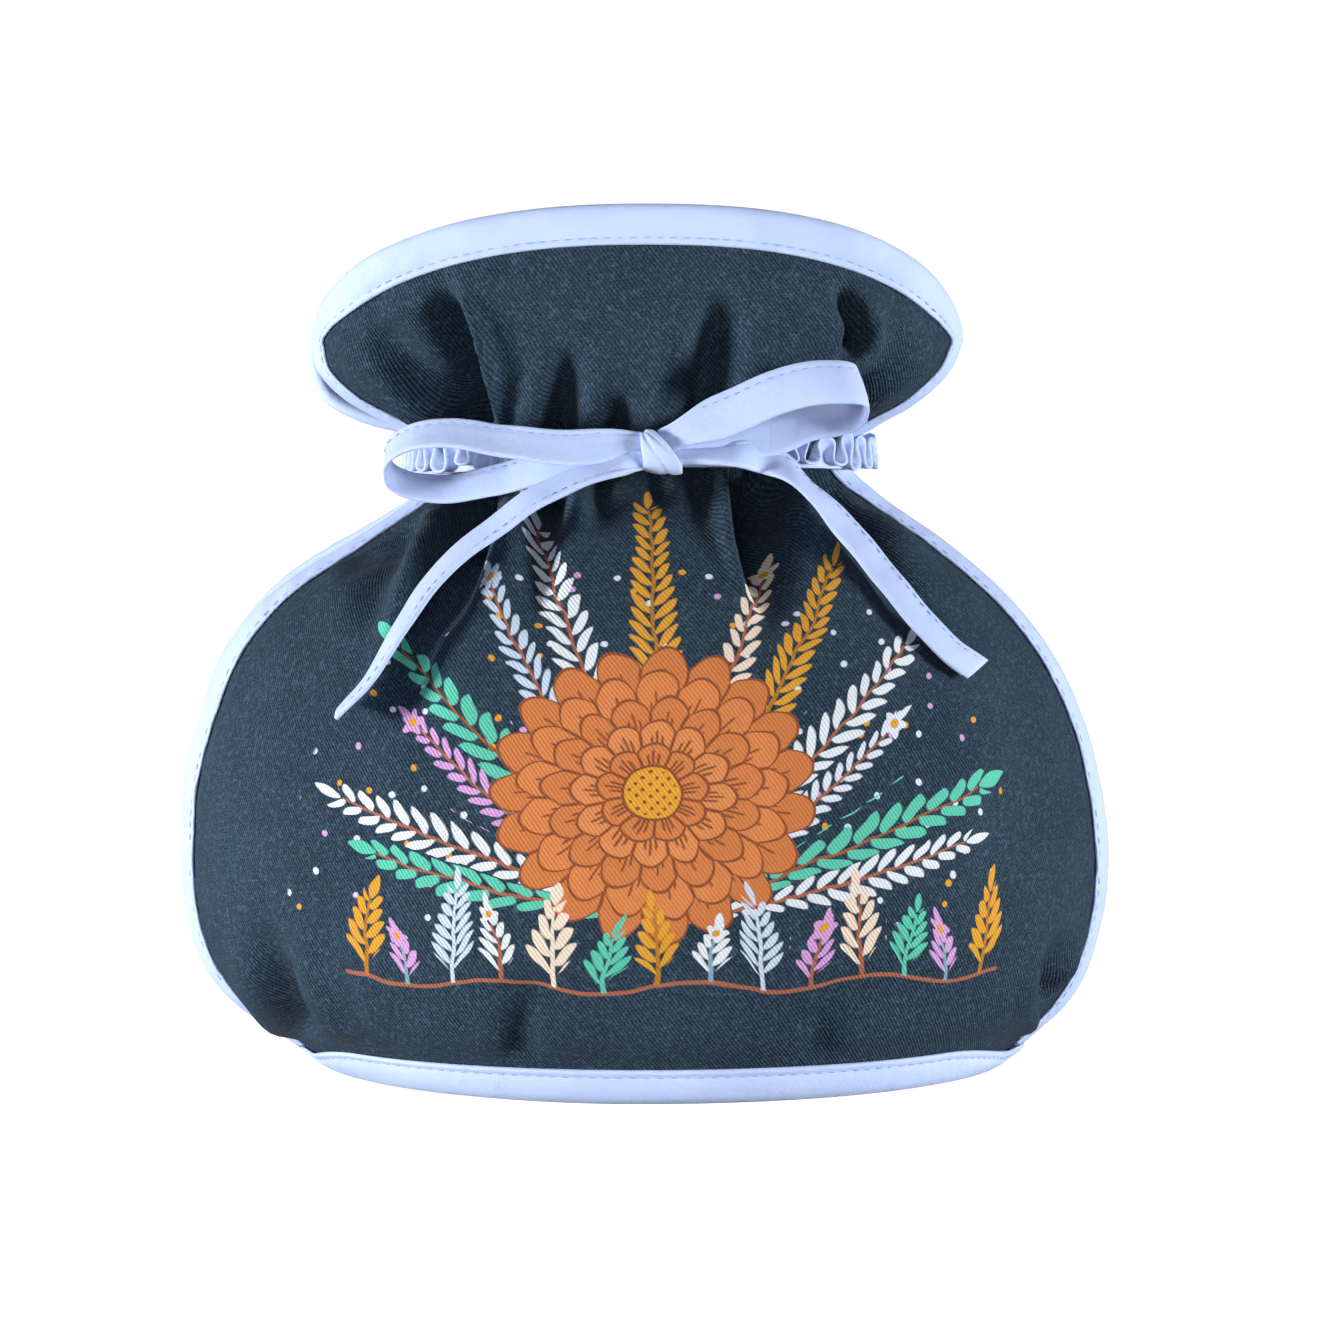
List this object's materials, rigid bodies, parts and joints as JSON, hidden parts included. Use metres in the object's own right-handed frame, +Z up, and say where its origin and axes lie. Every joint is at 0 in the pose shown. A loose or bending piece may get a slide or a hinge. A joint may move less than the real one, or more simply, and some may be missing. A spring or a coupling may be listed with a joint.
{
  "type": "tea cosy",
  "caption": "Padded fabric tea cosy that stands on its hem, open at both sides for spout and handle, with a drawn neck, a flared collar, a gathered frill and a tied ribbon bow.",
  "frame": {"origin": "on the surface that the hem stands on, in the middle of the footprint's bounding box", "axes": "+Z up; the front with the bow faces -Y; the spout's side is -X and the handle's side is +X"},
  "size_m": [0.224, 0.1691, 0.2041],
  "materials": {
    "navy_twill": "dark navy cotton twill over padding, printed in front",
    "pale_blue_cotton": "pale blue plain-woven cotton, topstitched"
  },
  "bodies": {
    "root": {"front_panel": "navy_twill", "back_panel": "navy_twill", "front_binding": "pale_blue_cotton", "back_binding": "pale_blue_cotton", "hem_band": "pale_blue_cotton", "neck_frill": "pale_blue_cotton", "tie_bow": "pale_blue_cotton"}
  },
  "joints": []
}
